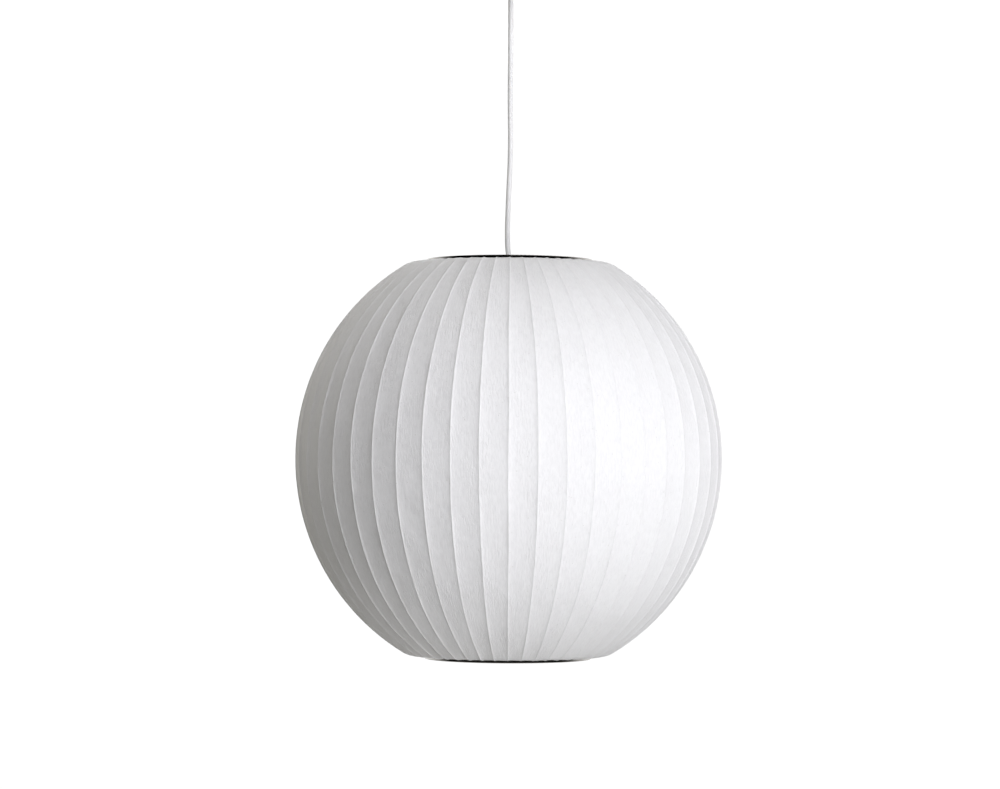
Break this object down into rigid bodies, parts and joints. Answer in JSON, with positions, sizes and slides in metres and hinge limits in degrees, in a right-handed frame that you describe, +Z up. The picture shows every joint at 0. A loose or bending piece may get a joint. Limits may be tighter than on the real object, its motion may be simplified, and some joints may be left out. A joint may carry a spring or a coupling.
{
  "type": "ball pendant lantern",
  "caption": "Ball-shaped wire-cage pendant lantern with a white translucent film, metal rings at top and bottom, cord, ceiling cup and a screw-in bulb.",
  "frame": {"origin": "on the ceiling plane, midway between the two ceiling screw slots", "axes": "+Z up, out of the bracket towards the ceiling; +X along the bracket's strap"},
  "size_m": [0.325, 0.325, 0.5448],
  "materials": {
    "zinc_steel": "zinc-plated steel, satin",
    "cage_steel": "drawn steel wire, dull bright",
    "polished_nickel": "polished nickel plate",
    "shade_film": "white translucent sprayed film with fine fibres, matt",
    "white_enamel": "white powder coat, satin",
    "white_nylon": "moulded nylon, satin",
    "white_moulding": "moulded thermoset, semi-gloss",
    "bush_rubber": "pale soft rubber",
    "cord_sheath": "white extruded PVC sheath",
    "brown_lead": "brown PVC insulation",
    "blue_lead": "blue PVC insulation",
    "brass": "turned or pressed brass",
    "steatite": "unglazed steatite",
    "black_glass": "black insulating glass",
    "cap_nickel": "nickel-plated brass shell",
    "bulb_housing": "white moulded housing",
    "plate_aluminium": "stamped aluminium",
    "board_laminate": "green laminate",
    "opal_globe": "opal polycarbonate"
  },
  "bodies": {
    "ceiling_cup": {"ceiling_bracket": "zinc_steel", "canopy_cover": "white_enamel", "canopy_side_screws": "zinc_steel", "cord_gland": "white_nylon", "gland_locknut": "zinc_steel", "cord_stop": "white_nylon", "cord_stop_screw": "zinc_steel", "terminal_block": "white_moulding", "terminal_tubes": "brass", "terminal_screws": "zinc_steel", "block_screw": "zinc_steel", "cord_tail": "cord_sheath", "canopy_lead_live": "brown_lead", "canopy_lead_neutral": "blue_lead"},
    "gland_bush": {"gland_bush": "bush_rubber"},
    "cord": {"cord": "cord_sheath"},
    "lantern": {"cord_grip": "white_nylon", "cord_grip_screw": "zinc_steel", "threaded_nipple": "zinc_steel", "upper_locknut": "zinc_steel", "lower_locknut": "zinc_steel", "spider_hub": "zinc_steel", "hub_rivets": "zinc_steel", "ring_screws": "zinc_steel", "ring_nuts": "zinc_steel", "top_ring": "polished_nickel", "bottom_ring": "polished_nickel", "cage_wires": "cage_steel", "shade_film": "shade_film", "holder_cap": "white_moulding", "cap_lock_screw": "zinc_steel", "holder_body": "white_moulding", "contact_carrier": "steatite", "threaded_shell": "brass", "holder_contact": "brass", "holder_lead_live": "brown_lead", "holder_lead_neutral": "blue_lead", "spider_arm_1": "zinc_steel", "spider_arm_2": "zinc_steel", "spider_arm_3": "zinc_steel"},
    "bulb_contact": {"bulb_contact": "brass"},
    "bulb": {"bulb_insulator": "black_glass", "bulb_screw_cap": "cap_nickel", "bulb_collar": "bulb_housing", "led_plate": "plate_aluminium", "driver_board": "board_laminate", "bulb_globe": "opal_globe"}
  },
  "joints": [
    {"name": "swing_front_back", "type": "hinge", "parent": "ceiling_cup", "child": "gland_bush", "pos_m": [0, 0, -0.034], "axis": [1, 0, 0], "range_deg": [-20, 20]},
    {"name": "swing_side", "type": "hinge", "parent": "gland_bush", "child": "cord", "pos_m": [0, 0, -0.034], "axis": [0, 1, 0], "range_deg": [-20, 20]},
    {"name": "lantern_twist", "type": "hinge", "parent": "cord", "child": "lantern", "pos_m": [0, 0, -0.25], "axis": [0, 0, 1], "range_deg": [-180, 180]},
    {"name": "bulb_travel", "type": "slide", "parent": "lantern", "child": "bulb_contact", "axis": [0, 0, -1], "range_m": [0, 0.01991]},
    {"name": "bulb_turn", "type": "hinge", "parent": "bulb_contact", "child": "bulb", "pos_m": [0, 0, -0.353], "axis": [0, 0, -1], "range_deg": [0, 1980.01]}
  ],
  "couplings": [
    {"joint": "bulb_turn", "follows": "bulb_travel", "rad_per_m": 1735.7}
  ]
}
